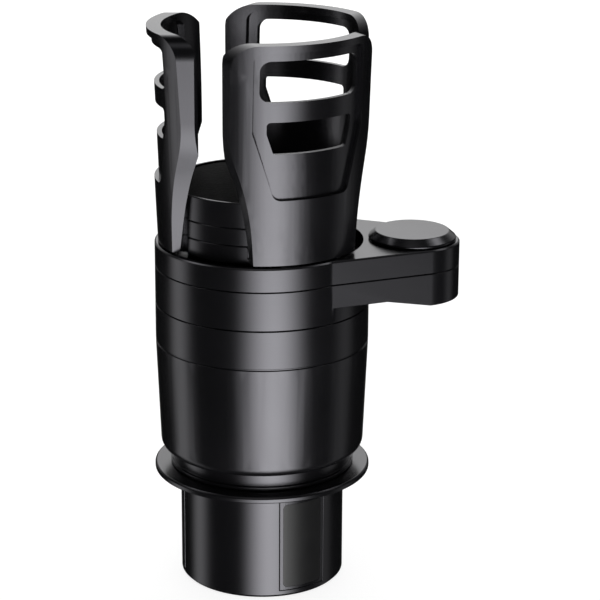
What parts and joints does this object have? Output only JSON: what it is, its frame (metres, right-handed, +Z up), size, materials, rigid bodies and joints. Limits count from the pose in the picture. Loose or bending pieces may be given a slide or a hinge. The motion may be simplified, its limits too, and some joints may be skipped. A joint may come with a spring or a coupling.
{
  "type": "cup holder expander",
  "caption": "Black plastic cup holder expander: base with sliding grip jaws, a turning cup, and a swing arm that carries a second holder with tall windowed claws.",
  "frame": {"origin": "centre of the base's flat underside, on the axis of the base and the cup", "axes": "+Z up along the cup axis, +X towards the swing arm's pivot, +Y completes the right-handed frame"},
  "size_m": [0.1248, 0.0908, 0.2301],
  "materials": {
    "black_plastic": "satin moulded ABS, fine grain",
    "rubber_pad": "matt soft grip pad",
    "foam": "closed cell foam, mottled",
    "steel": "zinc plated",
    "grey_acetal": "smooth acetal"
  },
  "bodies": {
    "base": {"base_sleeve": "black_plastic", "base_bottom_plate": "black_plastic", "base_plate_screws": "steel"},
    "cup": {"spindle": "black_plastic", "scroll_cam": "grey_acetal", "thrust_washer": "steel", "spindle_screw": "steel", "cup_body": "black_plastic", "cup_screws": "steel", "cup_floor_pad": "foam", "arm_collar": "black_plastic", "pivot_bolt": "steel", "pivot_bush": "grey_acetal", "pivot_spring_washer": "steel", "pivot_nut": "steel"},
    "upper_holder": {"upper_collar": "black_plastic", "pivot_cap": "black_plastic", "claw_carrier": "black_plastic", "carrier_screws": "steel", "spacer_lower": "black_plastic", "spacer_middle": "black_plastic", "spacer_upper": "black_plastic", "foam_pad": "foam", "claw_pin_front": "steel", "claw_pin_rear": "steel", "claw_pin_left": "steel", "claw_spring_front": "steel", "claw_spring_rear": "steel", "claw_spring_left": "steel"},
    "jaw_front": {"jaw_front": "black_plastic", "jaw_pad_front": "rubber_pad"},
    "claw_front": {"claw_front": "black_plastic"},
    "jaw_rear": {"jaw_rear": "black_plastic", "jaw_pad_rear": "rubber_pad"},
    "claw_rear": {"claw_rear": "black_plastic"},
    "jaw_left": {"jaw_left": "black_plastic", "jaw_pad_left": "rubber_pad"},
    "claw_left": {"claw_left": "black_plastic"}
  },
  "joints": [
    {"name": "cup_turn", "type": "hinge", "parent": "base", "child": "cup", "pos_m": [0, 0, 0.0485], "axis": [0, 0, 1], "range_deg": [0, 100]},
    {"name": "arm_swing", "type": "hinge", "parent": "cup", "child": "upper_holder", "pos_m": [0.0603, 0, 0.1332], "axis": [0, 0, 1], "range_deg": [-180, 180]},
    {"name": "jaw_slide_front", "type": "slide", "parent": "base", "child": "jaw_front", "axis": [0.5, -0.866, 0], "range_m": [0, 0.0081]},
    {"name": "claw_tilt_front", "type": "hinge", "parent": "upper_holder", "child": "claw_front", "pos_m": [0.01718, -0.03232, 0.13855], "axis": [0.8829, 0.4695, 0], "range_deg": [0, 5], "stiffness_Nm_per_rad": 2},
    {"name": "jaw_slide_rear", "type": "slide", "parent": "base", "child": "jaw_rear", "axis": [0.5, 0.866, 0], "range_m": [0, 0.0081]},
    {"name": "claw_tilt_rear", "type": "hinge", "parent": "upper_holder", "child": "claw_rear", "pos_m": [0.01718, 0.03232, 0.13855], "axis": [-0.8829, 0.4695, 0], "range_deg": [0, 5], "stiffness_Nm_per_rad": 2},
    {"name": "jaw_slide_left", "type": "slide", "parent": "base", "child": "jaw_left", "axis": [-1, 0, 0], "range_m": [0, 0.0081]},
    {"name": "claw_tilt_left", "type": "hinge", "parent": "upper_holder", "child": "claw_left", "pos_m": [-0.0366, 0, 0.13855], "axis": [0, -1, 0], "range_deg": [0, 5], "stiffness_Nm_per_rad": 2}
  ],
  "couplings": [
    {"joint": "jaw_slide_front", "follows": "cup_turn", "m_per_rad": 0.0045837},
    {"joint": "jaw_slide_rear", "follows": "cup_turn", "m_per_rad": 0.0045837},
    {"joint": "jaw_slide_left", "follows": "cup_turn", "m_per_rad": 0.0045837}
  ]
}
